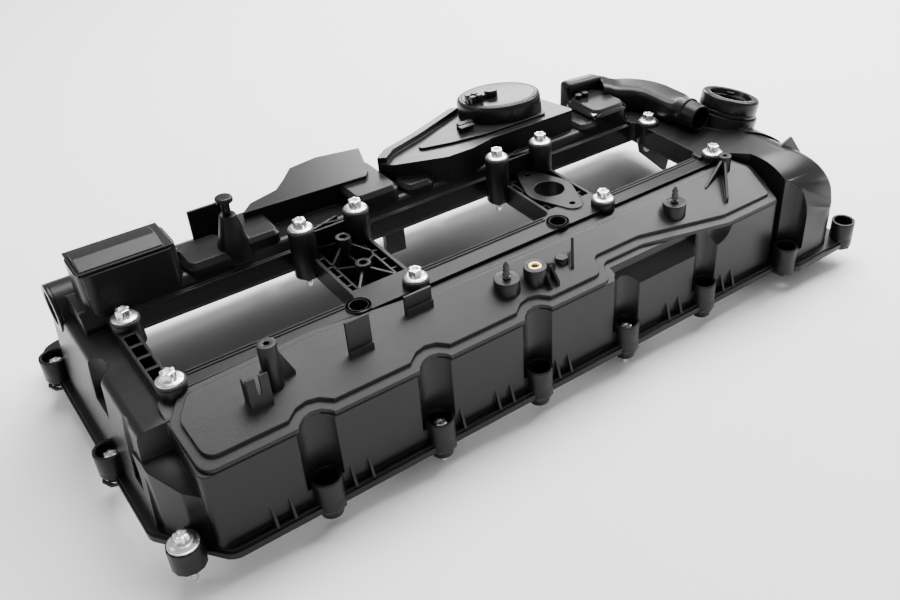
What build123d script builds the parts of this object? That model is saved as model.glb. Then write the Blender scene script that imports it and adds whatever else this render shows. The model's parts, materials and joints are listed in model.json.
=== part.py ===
from build123d import *
import os
from math import cos, pi, radians, sin, tan

os.makedirs("parts", exist_ok=True)

# Engine valve cover for a straight six, in millimetres.
# x runs along the engine, y from the exhaust side to the intake side, z up.
# While it is built, z = 0 is the sealing face and x = y = 0 is the first inner bolt.

# Layout of the engine below
bore_pitch = 91.0
window_pitch = 2.0 * bore_pitch
window_bolt_span = 135.4
bank_width = 84.3
last_span = 131.0
bolt_plane = 101.0
tall_boss_rise = 19.7
last_bolt_x = 2 * window_pitch + last_span

# Plan of the sealing flange
left_edge = -44.5
right_edge = last_bolt_x + 112.0
front_edge = -70.5
rear_edge = 232.0
bulge_edge = -85.0
bulge_start = last_bolt_x + 23.0
flange_height = 7.0
flange_width = 7.0
flange_step = 2.0
corner_cut_x = 36.5
corner_cut_y = 50.5

# Walls
wall = 3.0
roof_wall = 3.0
deck_slope = 20.5
deck_front_height = 73.0
deck_front_y = -63.5
rail_top = 95.0
rail_bottom = 80.0
near_rail_back = 13.0
near_rail_front = -6.0
far_rail_front = 97.0
far_rail_back = 104.0
bar_left = -9.0
bar_right = 3.0
bridge_margin = 3.0
rib = 2.0
rib_top = 94.0
rib_floor = 84.0

# Outer bolt sockets
cup_diameter = 21.8
cup_bore = 17.6
cup_top = 25.0
cup_floor = 9.0
nose_diameter = 16.0
nose_bottom = -9.0
end_nose_bottom = -4.0
side_nose_bottom = 0.0
side_cup_bottom = 5.0
recess_radius = 16.0
recess_offset = 7.0
socket_y = -64.2
first_socket_x = 64.0
end_socket_x = last_bolt_x + 31.0
end_socket_y = -72.0
outer_socket_x = last_bolt_x + 108.0
outer_socket_y = -77.5
left_socket_x = -41.0
left_socket_front_y = 53.8
left_socket_rear_y = 184.0
corner_socket = (-31.0, -55.0)
corner_boss_diameter = 23.0
corner_boss_top = 20.0
corner_boss_bottom = 2.0
corner_nose_diameter = 15.0
corner_nose_bottom = -2.0
corner_tip = -14.0
rear_socket_y = 225.0

# Bolts, bushes and sleeves
bolt_diameter = 6.0
bolt_clearance = 0.6
bolt_flange_diameter = 18.0
bolt_flange_height = 2.2
bolt_head_diameter = 10.5
bolt_head_height = 5.5
bolt_recess = 4.0
inner_tip = 69.0
tip_reach = 9.0
bush_diameter = 16.0
bush_height = 1.5
bush_stem = 10.0
sleeve_wall = 1.2
inner_boss_diameter = 20.0

# Welded lid of the oil separator
lid_thickness = 3.0
lid_step = 3.0
lid_rim = 6.0

# Fittings on the lid
post_diameter = 12.5
post_bore = 4.2
pin_base_diameter = 20.0
pin_base_height = 9.0
pin_diameter = 6.5
pin_height = 15.0
insert_diameter = 11.0
insert_bore = 5.0
insert_height = 10.0
insert_boss_diameter = 18.0
insert_boss_height = 11.0
web = 2.2

# Pressure control valve
deck_tilt = 8.0
valve_x = 376.0
valve_y = 160.0
valve_diameter = 78.0
valve_skirt = 18.0
valve_top_wall = 2.5
valve_side_wall = 2.5
valve_seat_radius = 11.0
valve_stroke = 3.0
membrane_thickness = 1.2
plate_diameter = 44.0
plate_thickness = 2.0
spring_wire = 1.8
spring_radius = 14.0

# Breather duct and filler
spout_diameter = 25.0
spout_bore = 21.0
spout_x = last_bolt_x + 26.0
spout_height = 109.0
spout_mouth_y = 41.0
duct_width = 33.0
duct_radius = 40.0
duct_steps = 5
filler_x = last_bolt_x + 74.0
filler_y = 48.0
filler_diameter = 56.0
filler_bore = 33.0
filler_height = 17.0
filler_tilt = 14.0

# Gaskets
bead_height = 3.0
bead_width = 4.0
gasket_thickness = 2.0
eyelet_radius = 11.0

# Number of flat sides that small round forms are drawn with
cup_sides = 12
hole_sides = 6
flange_sides = 8
recess_sides = 16
seat_sides = 24

# Dome
dome_top = 98.0
dome_radius = 50.0
dome_corner = 30.0
skin_rise = 2.0

# Side port, stud and fittings of the bridges
port_y = 150.0
port_z = 87.0
port_face = -31.0
port_reach = 3.0
port_diameter = 37.0
port_bore = 31.0
stud_x = 93.0
stud_y = 112.0
stud_seat = 136.0
stud_diameter = 7.0
stud_head_diameter = 13.0
stud_head_bottom = 147.0
stud_head_top = 151.0
tube_diameter = 12.0
tube_bore = 6.0
vent_bore = 26.0
outer_bush_height = 4.0
outer_flange_diameter = 15.0
valve_well = 10.0
duct_turn = 62.0
near_edges = [11.0, 15.5, 12.0]

# Places worked out from the layout
window_starts = [i * window_pitch for i in range(3)]
window_ends = [window_starts[0] + window_bolt_span, window_starts[1] + window_bolt_span,
               window_starts[2] + last_span]
tall_bosses = [(window_ends[0], bank_width), (window_starts[1], bank_width),
               (window_ends[1], bank_width), (window_starts[2], bank_width)]
short_bosses = [(window_starts[0], 0), (window_starts[1], 0), (window_starts[2], 0),
                (window_ends[2], 0), (window_starts[0], bank_width), (window_ends[2], bank_width)]
empty_rings = [(window_ends[0], 2.0), (window_ends[1], 2.0)]
front_sockets = [(first_socket_x + i * bore_pitch - 0.4 * i, socket_y) for i in range(5)]
rear_sockets = [(x, rear_socket_y) for x in (20.0, 154.0, 240.0, 336.0, 440.0, 570.0)]
end_sockets = [(end_socket_x, end_socket_y), (outer_socket_x, outer_socket_y)]
left_sockets = [(left_socket_x, left_socket_front_y), (left_socket_x, left_socket_rear_y)]
all_sockets = front_sockets + end_sockets + left_sockets + rear_sockets
nose_ends = [nose_bottom] * 5 + [end_nose_bottom] * 2 + [side_nose_bottom] * 8
cup_ends = [0.0] * 7 + [side_cup_bottom] * 8
bolted = [1, 3, 7, 8, 9, 11, 13]
measured_holes = [0, 4]

slope = tan(radians(deck_slope))
tilt = tan(radians(deck_tilt))
rear_deck_y = 112.0
rear_deck_top = 124.0
box_top = 131.0
box_back = 141.0


def deck_z(y):
    """Height of the top of the lid rim at this y."""
    return deck_front_height + slope * (y - deck_front_y)


def shrink(points, inset):
    """Move every side of a closed outline inwards by inset."""
    count = len(points)
    area = sum(points[i - 1][0] * points[i][1] - points[i][0] * points[i - 1][1] for i in range(count))
    sign = 1 if area > 0 else -1
    moved = []
    for i in range(count):
        (x0, y0), (x1, y1), (x2, y2) = points[i - 1], points[i], points[(i + 1) % count]
        first = Vector(x1 - x0, y1 - y0, 0).normalized()
        second = Vector(x2 - x1, y2 - y1, 0).normalized()
        turn = 1 + first.X * second.X + first.Y * second.Y
        moved.append((x1 - sign * inset * (first.Y + second.Y) / turn, y1 + sign * inset * (first.X + second.X) / turn))
    return moved


def rounded(places, radius):
    """Closed outline through these places, its corners rounded where a radius is given."""
    if radius:
        return make_face(FilletPolyline(*places, radius=radius, close=True))
    return make_face(Polyline(*places, close=True))


def prism(points, low, high, radius=0):
    """Upright prism on a plan outline."""
    return Pos(0, 0, low) * extrude(rounded(points, radius), high - low, dir=(0, 0, 1))


def along_x(points, x_low, x_high, radius=0):
    """Prism along x on an outline given as y, z pairs."""
    face = rounded([(x_low, y, z) for y, z in points], radius)
    return extrude(face, x_high - x_low, dir=(1, 0, 0))


def along_y(points, y_low, y_high, radius=0):
    """Prism along y on an outline given as x, z pairs."""
    face = rounded([(x, y_low, z) for x, z in points], radius)
    return extrude(face, y_high - y_low, dir=(0, 1, 0))


def peg(x, y, low, high, diameter, sides=0):
    """Upright cylinder, or a many sided prism that stands for a small turned form."""
    if sides:
        return Pos(x, y, low) * extrude(RegularPolygon(diameter / 2, sides), high - low, dir=(0, 0, 1))
    return Pos(x, y, low) * Cylinder(diameter / 2, high - low, align=(Align.CENTER, Align.CENTER, Align.MIN))


def cone(x, y, low, high, foot, tip):
    """Upright tapering post."""
    return Pos(x, y, low) * Cone(foot / 2, tip / 2, high - low, align=(Align.CENTER, Align.CENTER, Align.MIN))


def block(x0, x1, y0, y1, z0, z1):
    """Plain box between two corners."""
    return Pos((x0 + x1) / 2, (y0 + y1) / 2, (z0 + z1) / 2) * Box(x1 - x0, y1 - y0, z1 - z0)


def common(first, second):
    """What two solids share, cut out of the first."""
    around = Pos(280, 60, 0) * Box(1400, 900, 700)
    return first - (around - second)


def above_deck(lift):
    """Everything above the sloped front deck moved up by lift."""
    base = Plane(origin=(280, deck_front_y, deck_front_height + lift), x_dir=(1, 0, 0),
                 z_dir=(0, -sin(radians(deck_slope)), cos(radians(deck_slope))))
    return base * Box(1200, 600, 300, align=(Align.CENTER, Align.CENTER, Align.MIN))


def above_rear(lift):
    """Everything above the tilted rear deck moved up by lift."""
    base = Plane(origin=(280, rear_deck_y, rear_deck_top + lift), x_dir=(1, 0, 0),
                 z_dir=(0, sin(radians(deck_tilt)), cos(radians(deck_tilt))))
    return base * Box(1200, 600, 200, align=(Align.CENTER, Align.CENTER, Align.MIN))


def bar(p, q, low, high, thickness):
    """Upright rib of one thickness between two plan points."""
    start = Vector(p[0], p[1], low)
    run = Vector(q[0], q[1], low) - start
    base = Plane(origin=start, x_dir=run, z_dir=(0, 0, 1))
    return base * Box(run.length, thickness, high - low, align=(Align.MIN, Align.CENTER, Align.MIN))


def fin(p, q, low, high, far_high, thickness):
    """Upright web that falls from one height at p to another at q."""
    start = Vector(p[0], p[1], 0)
    run = Vector(q[0], q[1], 0) - start
    side = Plane(origin=start, x_dir=run, z_dir=(run.Y, -run.X, 0))
    face = make_face(Polyline((0, low), (run.length, low), (run.length, far_high), (0, high), close=True))
    return extrude(side * face, thickness / 2, both=True)


# Outlines in plan
def flange_outline(inset):
    """Outer edge of the sealing flange."""
    points = [(left_edge, rear_edge), (left_edge, front_edge + corner_cut_y), (left_edge + corner_cut_x, front_edge),
              (bulge_start, front_edge), (bulge_start + 16, bulge_edge), (right_edge - 3, bulge_edge),
              (right_edge, bulge_edge + 16), (right_edge, rear_edge)]
    return rounded(shrink(points, inset), [14, 12, 12, 10, 10, 8, 8, 20])


def lid_outline(inset):
    """Edge of the separator lid: straight bays, a scallop above each socket and one long step."""
    end = last_bolt_x + 20
    points = [(-13, -24), (-10, -62.8), (318, -62.8), (322, -47.5), (366, -47.5), (452, -62.8), (end, -62.8),
              (end + 7, -24), (end - 7, -9), (370, -13), (190, -11), (95, -3), (2, -6)]
    face = rounded(shrink(points, inset), [10, 9, 7, 8, 20, 20, 3, 6, 6, 30, 30, 30, 9])
    for x, y in front_sockets[:3]:
        face = face - Pos(x + 2, y - recess_offset - 0.5) * RegularPolygon(recess_radius + inset, recess_sides)
    return face


# Body moulding: every chamber is a solid, and again as the hollow that goes inside it
below = -12.0


def front_block(inset):
    """Exhaust side chamber under the separator lid."""
    end = last_bolt_x + 21.5
    points = [(-13, near_rail_front + 4), (-13, deck_front_y), (end, deck_front_y), (end + 7.5, -40),
              (end + 7.5, near_rail_front + 4)]
    shape = prism(shrink(points, inset), below if inset else 0, 120, radius=0 if inset else 6)
    return shape - above_deck(-lid_thickness - inset)


def left_block(inset):
    """Sloping end wall on the left."""
    profile = [(left_edge + flange_width - 1, below if inset else 0), (-32, 87), (-8, 87), (-8, below if inset else 0)]
    return along_y(shrink(profile, inset), -19.5 + inset, 168 - inset, radius=0 if inset else [1, 6, 1, 1])


def corner_block(inset):
    """Lower shoulder that runs round the front left corner."""
    points = [(-36, 0), (-34, -26), (-22, -46), (-2, -62.5), (10, -62.5), (10, 0)]
    shape = prism(shrink(points, inset), below if inset else 0, 66, radius=0 if inset else 6)
    return shape - along_x([(-80, 34 - inset), (-20, 65 - inset), (40, 65 - inset), (40, 120), (-80, 120)], -60, 40)


def rear_block(inset):
    """Intake side chamber."""
    low = below if inset else 0
    front = far_rail_front + 2
    foot = rear_edge - flange_width
    profile = [(front, low), (front, 92), (front + 6, 104), (160, 98), (205, 66), (foot, flange_height), (foot, low)]
    return along_x(shrink(profile, inset), -24 + inset, last_bolt_x - 9, radius=0 if inset else [1, 4, 6, 25, 20, 1, 1])


def right_block(inset):
    """Domed end chamber on the right."""
    low = below if inset > 0 else 0
    start = last_bolt_x - 12
    side = right_edge - flange_width - 2
    front = bulge_edge + flange_width
    foot = rear_edge - flange_width
    end_view = [(start, low), (start, dome_top), (side, dome_top), (side, low)]
    side_view = [(front, low), (front, dome_top), (132, dome_top), (foot, 36), (foot, low)]
    if inset > 0:
        cut = dome_radius * 0.8
        end_view[2:3] = [(side - cut, dome_top), (side, dome_top - cut)]
        side_view[1:2] = [(front, dome_top - cut), (front + cut, dome_top)]
        shape = along_y(shrink(end_view, inset), front + inset, foot - inset)
        shape = common(shape, along_x(shrink(side_view, inset), start - 13, side + 40))
        plan = [(start, foot), (start, front), (side - dome_corner, front), (side, front + dome_corner), (side, foot)]
        return common(shape, prism(shrink(plan, inset), low, dome_top)) - end_cut(inset)
    outer_radius = dome_radius - inset
    plan = [(start, foot), (start, front), (side, front), (side, foot)]
    shape = along_y(shrink(end_view, inset), front + inset, foot - inset, radius=[1, 2, outer_radius, 1])
    shape = common(shape, along_x(shrink(side_view, inset), start - 13, side + 40, radius=[1, outer_radius, 25, 25, 1]))
    shape = common(shape, prism(shrink(plan, inset), low, dome_top + 20, radius=[1, 1, dome_corner - inset, 1]))
    return shape - end_cut(inset)


def end_cut(inset):
    """Room in front of the dome for the lid, which runs up to it."""
    start = last_bolt_x - 25
    return prism([(start, -140), (start, 4 + inset), (start + 30, 4 + inset), (start + 54.5 + inset, -20),
                  (start + 57 + inset, -62), (start + 64 + inset, -140)], -20, 140)


def box_housing(inset):
    """Square chamber at the rear left that the box lid closes."""
    points = [(-18, 101), (-18, box_back), (51, box_back), (51, 101)]
    return prism(shrink(points, inset), below if inset else 60, box_top - inset, radius=0 if inset else 10)


def deck_housing(inset):
    """Raised chamber under the labyrinth cover and the control valve."""
    points = [(240, 124), (281, 103), (306, 103), (330, 110), (424, 110), (424, 198), (345, 198), (287, 168),
              (248, 152), (233, 138)]
    shape = prism(shrink(points, inset), below if inset else 62, 140, radius=0 if inset else 5)
    return shape - above_rear(-inset)


def wing(inset):
    """Flank between the box housing and the raised chamber."""
    points = [(112, 135), (123, 146), (148, 153), (160, 165), (173, 180), (199, 184), (236, 176), (222, 135), (216, 128)]
    return prism(shrink(points, inset), below if inset else 72, 119 - inset)


def pocket(x0, x1, y0, y1, top, radius, inset):
    """Rounded chamber standing out of the intake side wall."""
    shape = block(x0 + inset, x1 - inset, y0 + inset, y1 - inset, below if inset else 70, top - inset)
    if inset:
        return shape
    shape = fillet(shape.edges().filter_by(Axis.Z), radius)
    return chamfer(shape.edges().group_by(Axis.Z)[-1], radius * 0.45)


pockets = [(53, 92, 101, 140, 110.0, 9), (95.5, 129, 104.5, 150, 113.0, 7), (192, 234, 103, 160, 116.0, 8),
           (239, 268, 103, 140, 110.0, 8), (426, 452, 102, 140, 108.0, 8),
           (last_bolt_x - 53, last_bolt_x - 7, 101, 150, 117.0, 12)]
gusset_places = [24.4, 37.3, 82.6, 96.3, 172.9, 205, 218, 262.7, 274.5, 382.5, 396.5, 448.9, 461.6]
gusset_height = 19.0
gusset_depth = 6.0
dish_radius = 24.0
dish = Pos(439, deck_front_y - dish_radius + 8, 74)
scoop = Pos(-38, 62, 88) * Rot(0, -15, 0)
small_scoop = Pos(-36, 2, 60) * Rot(0, -8, 0)
scoop_radius = 15.0
small_scoop_radius = 9.0
filler_axis = Plane(origin=(filler_x, filler_y, 120), x_dir=(cos(radians(filler_tilt)), 0, -sin(radians(filler_tilt))),
                    z_dir=(sin(radians(filler_tilt)), 0, cos(radians(filler_tilt))))
valve_axis = Plane(origin=(valve_x, valve_y, rear_deck_top - tilt * (valve_y - rear_deck_y)), x_dir=(1, 0, 0),
                   z_dir=(0, sin(radians(deck_tilt)), cos(radians(deck_tilt))))


def on_axis(axis, low, high, diameter, sides=0):
    """Peg between two heights along a tilted axis."""
    return axis * peg(0, 0, low, high, diameter, sides)


def along_left(y, z, x_low, x_high, diameter, sides=0):
    """Peg lying along x."""
    base = Plane(origin=(x_low, y, z), x_dir=(0, 1, 0), z_dir=(1, 0, 0))
    return base * peg(0, 0, 0, x_high - x_low, diameter, sides)


shells = [front_block, left_block, corner_block, rear_block, right_block, box_housing, deck_housing, wing]
solids = [shell(0) for shell in shells] + [pocket(*place, 0) for place in pockets]
solids.append(Pos(0, 0, flange_height - flange_step) * extrude(flange_outline(2), flange_step, dir=(0, 0, 1)))
body = extrude(flange_outline(0), flange_height - flange_step, dir=(0, 0, 1)) + solids

# Neck of the filler, its raised skin on the dome, and the seat of the side port
skin_plan = [(-21, 130), (-20, 40), (-16, 10), (13, -6), (43, -6), (43, 130)]
filler_skin = prism([(filler_x + x, y) for x, y in skin_plan], 20, 130, radius=8)
body += [common(filler_skin, right_block(-skin_rise)),
         on_axis(filler_axis, -46, -filler_height, filler_diameter + 4, seat_sides),
         along_left(port_y, port_z, port_face, -12, port_diameter, seat_sides)]

# Recesses above the front sockets, the dish and the shoulder beside the step
recessed = front_sockets + [(end_socket_x, end_socket_y + recess_offset - 4)]
hollows = [peg(x, y - recess_offset, cup_top - 6, bolt_plane, 2 * recess_radius, recess_sides) for x, y in recessed]
hollows.append(dish * Sphere(dish_radius))
hollows.append(along_x([(-90, 30), (-66, 54), (-52, 68), (-52, 110), (-90, 110)], 327, 418))
hollows.append(scoop * peg(0, 0, -35, 35, 2 * scoop_radius, cup_sides))
hollows.append(small_scoop * peg(0, 0, -30, 30, 2 * small_scoop_radius, cup_sides))
body -= hollows

# Hollow inside
reach = recess_radius + wall
recess_keeps = [block(x - reach, x + reach, -110, y - recess_offset + reach, -20, bolt_plane) for x, y in recessed]
scoop_keeps = [scoop * peg(0, 0, -38, 38, 2 * (scoop_radius + wall), hole_sides),
               small_scoop * peg(0, 0, -33, 33, 2 * (small_scoop_radius + wall), hole_sides)]
front_void = front_block(wall) - recess_keeps
front_void -= [block(412, 466, deck_front_y - 20, deck_front_y + 8 + wall, 46, bolt_plane),
               along_x([(-90, 30), (-66, 50), (-48, 68), (-48, 110), (-90, 110)], 324, 421)]
valve_keep = on_axis(valve_axis, -valve_well - wall, 30, valve_diameter, hole_sides)
voids = [front_void, left_block(wall) - scoop_keeps, right_block(wall) - recess_keeps, corner_block(wall) - scoop_keeps,
         rear_block(wall), box_housing(wall), deck_housing(wall) - valve_keep, wing(wall)]
body -= voids + [pocket(*place, wall) for place in pockets]

# Open space under the window frame
frame_end = last_bolt_x - 5
low_roof = rail_bottom - 6
spaces = [block(-12, frame_end, 20, 100, below, low_roof), block(-9, last_bolt_x + 20, -50, 60, below, low_roof),
          block(-18, last_bolt_x + 55, 60, 190, below, 60), block(-6, frame_end - 8, 60, far_rail_back - 1, below, rail_bottom),
          block(-24, 0, -16, 160, below, 60), block(frame_end - 10, last_bolt_x + 90, -40, 190, below, 60),
          block(frame_end - 10, frame_end - 2, 0, 110, below, rail_bottom)]
body -= spaces

# Window frame: rails, end bars and bridges
openings = []
for i in range(3):
    left = window_starts[0] + bar_right if i == 0 else window_starts[i] + 6
    right = window_ends[i] + 3 if i < 2 else window_ends[2] - 8
    near = near_edges[i]
    openings.append([(left, near), (left, far_rail_front), (right, far_rail_front), (right, near)])
frame = block(bar_left, window_ends[2] + 9, near_rail_front, far_rail_back, rail_bottom, rail_top)
windows = [prism(points, rail_bottom - 30, rail_top + 60, radius=6) for points in openings]
frame -= windows
body -= windows

# Pockets between the ribs of the left bar and of the two bridges
bar_pockets = [block(bar_left + rib, bar_right - rib, 14 + 15 * i, 26 + 15 * i, rail_bottom + 6, rail_top + 1)
               for i in range(4)]
bridges = [(openings[0][2][0], openings[1][0][0]), (openings[1][2][0], openings[2][0][0])]
for left, right in bridges:
    bar_pockets.append(block(left + wall, right - wall, 22, 93, rail_bottom + 3, rail_top + 1))
frame -= bar_pockets
ribs = []
for left, right in bridges:
    for x in (left + 8.6, right - 8.6):
        ribs.append(bar((x, 20), (x, 95), rail_bottom + 2, rail_top - 2, rib))
    for i in range(4):
        y = 32 + 15 * i
        ribs.append(bar((left + 2, y), (left + 8, y), rail_bottom + 2, rail_top - 2, rib))
        ribs.append(bar((right - 8, y), (right - 2, y), rail_bottom + 2, rail_top - 2, rib))
left, right = bridges[0]
tubes = [(163.0, 73.0, 108.0), (162.0, 42.0, 101.0)]
for x, y, top in tubes:
    ribs.append(peg(x, y, rail_bottom + 2, top, tube_diameter, cup_sides))
for end in [(left + 8, 22), (right - 8, 22), (left + 8, 58), (right - 8, 58), (163, 70)]:
    ribs.append(fin((162, 42), end, rail_bottom + 2, 98, rail_top - 2, rib))
for end in [(left + 2, 93), (right - 2, 93), (left + 8, 62), (right - 8, 62), (163, 98)]:
    ribs.append(fin((163, 73), end, rail_bottom + 2, 104, rail_top - 1, rib))
left, right = bridges[1]
middle = (left + right) / 2
plate = make_hull([*(Pos(middle, 48) * Circle(21)).edges(), *(Pos(middle, 79) * Circle(9)).edges(),
                   *(Pos(middle, 17) * Circle(9)).edges()])
ribs.append(Pos(0, 0, rail_top - 3.5) * extrude(plate, 4.5, dir=(0, 0, 1)))
ribs.append(peg(middle, 48, rail_bottom, rail_top, vent_bore + 5, seat_sides))
for p, q in [((left + 2, 30), (middle, 48)), ((right - 2, 30), (middle, 48)), ((left + 2, 66), (middle, 48)),
             ((right - 2, 66), (middle, 48)), ((left + 2, 88), (middle, 78)), ((right - 2, 88), (middle, 78))]:
    ribs.append(bar(p, q, rail_bottom + 2, rail_top - 3, rib))
frame += ribs

# Walls and ribs that hold the tall bosses
bosses = []
for left_x, right_x in [(window_ends[0], window_starts[1]), (window_ends[1], window_starts[2])]:
    bosses.append(bar((left_x, bank_width + 3), (right_x, bank_width + 3), rail_top - 4, 112, rib))
    bosses.append(fin((left_x, bank_width), (right_x - 6, 108), rail_top - 4, 114, 106, rib))
    bosses.append(fin((right_x, bank_width), (left_x + 6, 108), rail_top - 4, 114, 106, rib))
for x, y in short_bosses + tall_bosses:
    top = bolt_plane - bush_height + (tall_boss_rise if (x, y) in tall_bosses else 0)
    bosses.append(peg(x, y, rail_bottom, top, inner_boss_diameter, cup_sides))
for x, y in empty_rings:
    bosses.append(peg(x, y, rail_bottom, rail_top + 1.5, inner_boss_diameter - 1, cup_sides))
body += frame
body += bosses
lid_room = extrude(lid_outline(-0.3), 130, dir=(0, 0, 1))
body -= [common(lid_room, above_deck(-lid_thickness)),
         along_left(port_y, port_z, -60, port_face, port_diameter + 1, seat_sides)]

# Outer sockets, gussets on the exhaust side and small webs
pieces = []
for (x, y), low, nose_low in zip(all_sockets, cup_ends, nose_ends):
    pieces.append(peg(x, y, low, cup_top, cup_diameter, cup_sides))
    pieces.append(peg(x, y, nose_low, low + 1, nose_diameter, hole_sides))
pieces.append(peg(*corner_socket, corner_boss_bottom, corner_boss_top, corner_boss_diameter, cup_sides))
pieces.append(bar(corner_socket, (-22, -42), corner_boss_bottom + 3, corner_boss_top - 2, 8))
pieces.append(peg(*corner_socket, corner_nose_bottom, corner_boss_bottom + 1, corner_nose_diameter, hole_sides))
for x in gusset_places:
    profile = [(deck_front_y + 1, flange_height - 1), (deck_front_y - gusset_depth, flange_height - 1),
               (deck_front_y + 1, flange_height + gusset_height)]
    pieces.append(along_x(profile, x - rib / 2, x + rib / 2))
pieces.append(block(214, 232, far_rail_back - 1.8, far_rail_back + 4, 54, 82))
tab = [(-1, 84), (50, 84), (50, 60), (42, 26), (5, 60)]
pieces.append(along_y([(last_bolt_x + x, z) for x, z in tab], 97, 100))
dome_fin = [(-11, 90), (-11, 97), (4, 102), (33, 66), (21, 58)]
pieces.append(along_y([(filler_x + x, z) for x, z in dome_fin], -26.5, -24))
pieces.append(cone(stud_x, stud_y, 100, stud_seat, 28, 12))
pieces.append(bar((74, 146), (104, 146), 94, 129, rib))
pieces.append(bar((104, 146), (108, 153), 94, 126, rib))
pieces.append(fin((51, 128), (66, 128), 100, 112, 108, rib))
lip = prism([(233, 138), (248, 152), (287, 168), (345, 198), (351, 193), (291, 162), (253, 146), (239, 133)], 90, 150)
pieces.append(lip - above_rear(5))
corner_box = [(-47, 163), (-10, 159), (-4, 144), (-46, 146)]
pieces.append(prism([(last_bolt_x + x, y) for x, y in corner_box], 96, 129))
pieces += [peg(last_bolt_x + x, 137, 110, 122, 7, hole_sides) for x in (-43, -35)]
body += pieces

# Seat tube of the control valve, a ring around it and the bore of the filler
seat_outer = valve_diameter - 6
seat_inner = valve_diameter - 12
body -= [on_axis(valve_axis, -valve_well, 40, seat_inner, seat_sides),
         on_axis(filler_axis, -60, 10, filler_bore + 1, seat_sides)]
body += on_axis(valve_axis, -valve_well - 2, 2.5, 2 * valve_seat_radius, cup_sides)
body += on_axis(valve_axis, -1, 5.5, seat_outer, seat_sides) - on_axis(valve_axis, -2, 6, seat_inner, seat_sides)
bores = [on_axis(valve_axis, -40, 3, 2 * valve_seat_radius - 6, cup_sides),
         along_left(port_y, port_z, port_face - 1, -24, port_bore, seat_sides)]
bolt_hole = bolt_diameter + 2 * bolt_clearance + 2 * sleeve_wall
for i, (x, y) in enumerate(all_sockets):
    bores.append(peg(x, y, cup_floor, cup_top + 1, cup_bore, cup_sides))
    bores.append(peg(x, y, nose_bottom - 1, cup_top + 1, bolt_hole, 0 if i in measured_holes else hole_sides))
bores.append(peg(*corner_socket, nose_bottom - 1, cup_top + 1, bolt_hole, hole_sides))
for x, y in short_bosses + tall_bosses:
    bores.append(peg(x, y, rail_bottom - 10, bolt_plane + 30, bush_stem + 0.4, hole_sides))
for x, y in empty_rings:
    bores.append(peg(x, y, rail_bottom + 3, rail_top + 2, 13.5))
    bores.append(peg(x, y, rail_bottom - 1, rail_top, 8, hole_sides))
for x, y, top in tubes:
    bores.append(peg(x, y, rail_bottom + 3, top + 1, tube_bore))
bores += [peg(middle, 48, rail_bottom - 1, rail_top + 3, vent_bore), peg(middle, 79, rail_bottom + 4, rail_top + 3, 5),
          peg(middle, 17, rail_bottom + 4, rail_top + 3, 5),
          peg(stud_x, stud_y, stud_seat - 14, stud_seat + 1, stud_diameter, hole_sides)]
body -= bores
bolt_rooms = [peg(x, y, bolt_plane - bush_height, 180, inner_boss_diameter + 1.5, cup_sides) for x, y in short_bosses]
body -= bolt_rooms

parts = {"cover_body": body}

# Separator lid with its posts, tabs and webs
rim = extrude(lid_outline(0), 130, dir=(0, 0, 1)) - above_deck(0)
rim = common(rim, above_deck(-lid_thickness))
step = extrude(lid_outline(lid_rim), 130, dir=(0, 0, 1)) - above_deck(lid_step)
step = common(step, above_deck(-0.5))
fittings = [peg(55, -30, 70, 122, post_diameter, cup_sides), block(33, 48, -43, -41, 70, 110), block(33, 35, -42, -33, 70, 106),
            block(46, 48, -42, -33, 70, 106), fin((60, -30), (70, -29), 70, 116, 92, web),
            block(107, 125, -35, -33, 70, 115), block(107, 125, -37, -34, 70, 92),
            block(158, 180, -24.5, -22.5, 70, 107), block(158, 180, -26.5, -23.5, 70, 97)]
studs = [(238.0, -36.0), (413.0, -35.0)]
for x, y in studs:
    fittings.append(peg(x, y, 70, deck_z(y) + lid_step + pin_base_height, pin_base_diameter, cup_sides))
insert_top = deck_z(-38) + lid_step + insert_boss_height
fittings += [peg(263, -38, 70, insert_top, insert_boss_diameter, cup_sides), fin((268, -44), (268, -52), 70, 94, 84, web),
             fin((275, -42), (275, -52), 70, 94, 84, web), fin((270, -38), (282, -38), 70, 96, 92, web),
             peg(292, -34, 70, deck_z(-34) + 7, 11, hole_sides), fin((306, -30), (295, -44), 70, 101, 86, web)]
post_x, post_y = last_bolt_x - 3, -17
fittings += [peg(post_x, post_y, 70, 106, 12, cup_sides), fin((post_x, post_y), (post_x - 27, -48), 70, 106, 86, web),
             fin((post_x, post_y), (post_x - 34, -28), 70, 106, 90, web)]
fittings = common(fittings[0] + fittings[1:], above_deck(-1.5))
lid = rim + [step, fittings]
lid -= [peg(263, -38, insert_top - insert_height, insert_top + 1, insert_diameter, cup_sides),
        peg(55, -30, 100, 123, post_bore), peg(post_x, post_y, 92, 107, post_bore), block(39, 42, -44, -40, 96, 111)]
lid -= bolt_rooms + [peg(x, y, deck_z(y) + lid_step + 1, 130, pin_diameter - 2, hole_sides) for x, y in studs]
parts["separator_lid"] = lid

# Barbed studs of the lid, and the brass insert
pins = []
for x, y in studs:
    foot = deck_z(y) + lid_step + pin_base_height
    pin = peg(x, y, foot - 8, foot + 1, pin_diameter - 2, hole_sides)
    pin += peg(x, y, foot, foot + pin_height - 4, pin_diameter, hole_sides)
    pin += peg(x, y, foot + pin_height - 5, foot + pin_height, pin_diameter - 3, hole_sides)
    for i in range(4):
        pin -= Pos(x, y, 0) * Rot(0, 0, 90 * i + 45) * block(pin_diameter / 2 - 1, 8, -0.9, 0.9, foot + 1, foot + pin_height)
    pins.append(pin)
parts["lid_studs"] = pins
insert = peg(263, -38, insert_top - insert_height, insert_top + 0.6, insert_diameter, cup_sides)
parts["brass_insert"] = insert - peg(263, -38, insert_top - insert_height - 1, insert_top + 2, insert_bore)

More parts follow.
